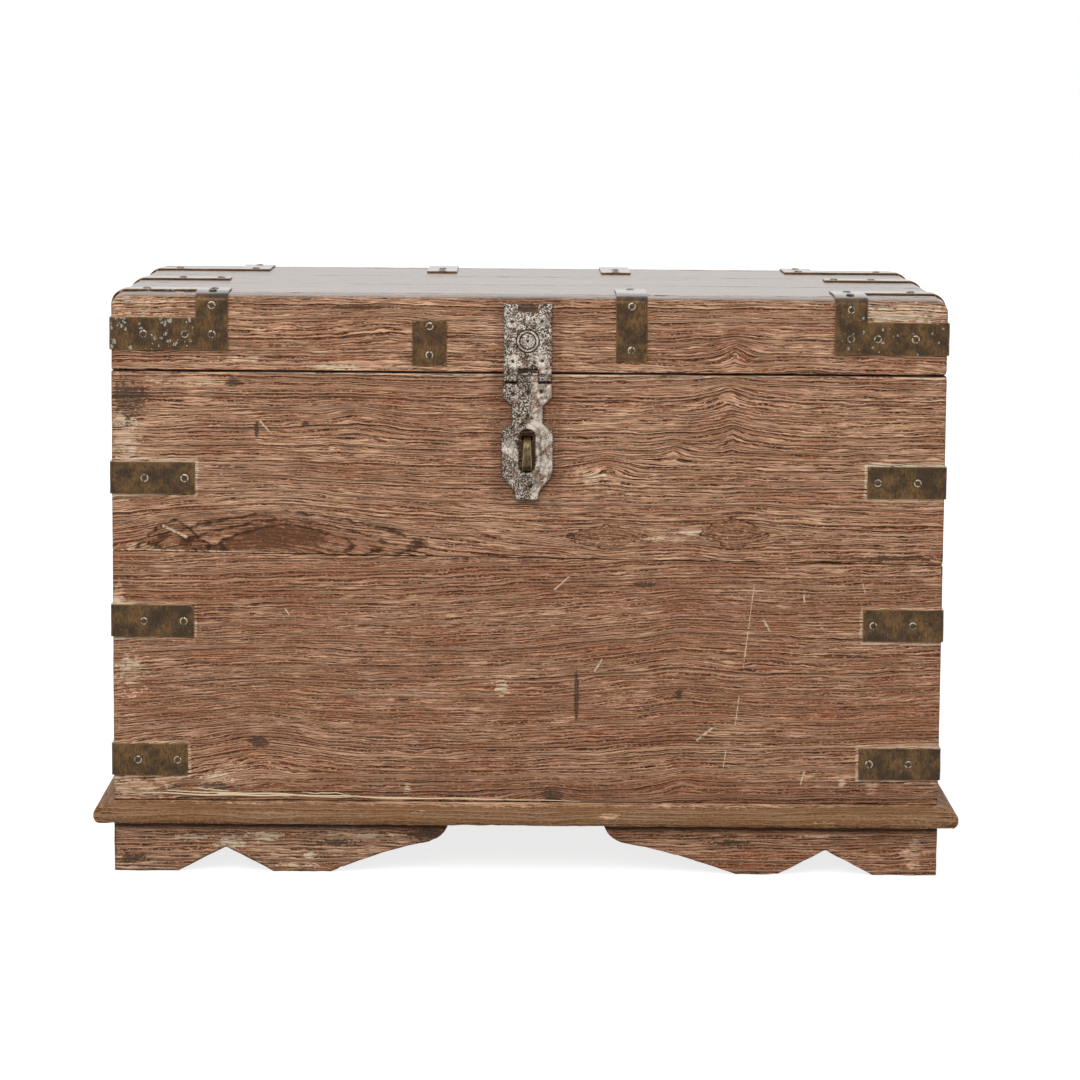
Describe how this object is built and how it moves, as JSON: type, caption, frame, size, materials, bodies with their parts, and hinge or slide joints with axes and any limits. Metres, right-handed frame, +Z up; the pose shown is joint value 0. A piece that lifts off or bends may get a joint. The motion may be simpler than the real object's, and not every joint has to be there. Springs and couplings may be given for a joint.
{
  "type": "storage chest",
  "caption": "Strapped teak trunk with a hinged framed lid, brass corner straps, an iron hasp over a staple, a moulded plinth and scalloped bracket feet.",
  "frame": {"origin": "on the floor, under the middle of the chest", "axes": "+X to the right along the front, +Y from the front to the back, +Z up"},
  "size_m": [0.962, 0.582, 0.6503],
  "materials": {
    "limed_teak": "limed reclaimed teak, pale pores and worn arrises",
    "base_teak": "limed reclaimed teak, darker and rubbed",
    "floor_teak": "plain sawn boards",
    "strap_brass": "darkened brass strap with pale lime left in the pits",
    "brass_screws": "rubbed round heads",
    "limed_iron": "old iron under worn whitewash, dark pits",
    "staple_brass": "tarnished brass with a rubbed nose",
    "pin_steel": "dull steel pins"
  },
  "bodies": {
    "chest": {"back_board_lower": "limed_teak", "back_board_upper": "limed_teak", "body_screws": "brass_screws", "bottom_board_1": "floor_teak", "bottom_board_2": "floor_teak", "corner_strap_back_left_lower": "strap_brass", "corner_strap_back_left_middle": "strap_brass", "corner_strap_back_left_upper": "strap_brass", "corner_strap_back_right_lower": "strap_brass", "corner_strap_back_right_middle": "strap_brass", "corner_strap_back_right_upper": "strap_brass", "corner_strap_front_left_lower": "strap_brass", "corner_strap_front_left_middle": "strap_brass", "corner_strap_front_left_upper": "strap_brass", "corner_strap_front_right_lower": "strap_brass", "corner_strap_front_right_middle": "strap_brass", "corner_strap_front_right_upper": "strap_brass", "foot_back_left": "base_teak", "foot_back_right": "base_teak", "foot_front_left": "base_teak", "foot_front_right": "base_teak", "foot_left_side_back": "base_teak", "foot_left_side_front": "base_teak", "foot_right_side_back": "base_teak", "foot_right_side_front": "base_teak", "front_board_lower": "limed_teak", "front_board_upper": "limed_teak", "hinge_body_leaf_left": "strap_brass", "hinge_body_leaf_right": "strap_brass", "hinge_pins": "pin_steel", "left_end_board_lower": "limed_teak", "left_end_board_upper": "limed_teak", "plinth_back": "base_teak", "plinth_front": "base_teak", "plinth_left": "base_teak", "plinth_right": "base_teak", "right_end_board_lower": "limed_teak", "right_end_board_upper": "limed_teak", "staple": "staple_brass"},
    "lid": {"hasp_pin": "pin_steel", "hasp_plate": "limed_iron", "hinge_lid_leaf_left": "strap_brass", "hinge_lid_leaf_right": "strap_brass", "lid_back_rail": "limed_teak", "lid_corner_bracket_back_left": "strap_brass", "lid_corner_bracket_back_right": "strap_brass", "lid_corner_bracket_front_left": "strap_brass", "lid_corner_bracket_front_right": "strap_brass", "lid_end_strap_left": "strap_brass", "lid_end_strap_right": "strap_brass", "lid_front_plate": "strap_brass", "lid_front_rail": "limed_teak", "lid_front_strap": "strap_brass", "lid_left_rail": "limed_teak", "lid_right_rail": "limed_teak", "lid_screws": "brass_screws", "lid_top_board_1": "limed_teak", "lid_top_board_2": "limed_teak", "lid_top_board_3": "limed_teak"},
    "hasp_leaf": {"hasp_leaf": "limed_iron"}
  },
  "joints": [
    {"name": "lid_hinge", "type": "hinge", "parent": "chest", "child": "lid", "pos_m": [0, 0.2755, 0.56115], "axis": [-1, 0, 0], "range_deg": [0, 105]},
    {"name": "hasp_hinge", "type": "hinge", "parent": "lid", "child": "hasp_leaf", "pos_m": [-0.002, -0.2742, 0.5553], "axis": [-1, 0, 0], "range_deg": [0, 170]}
  ]
}
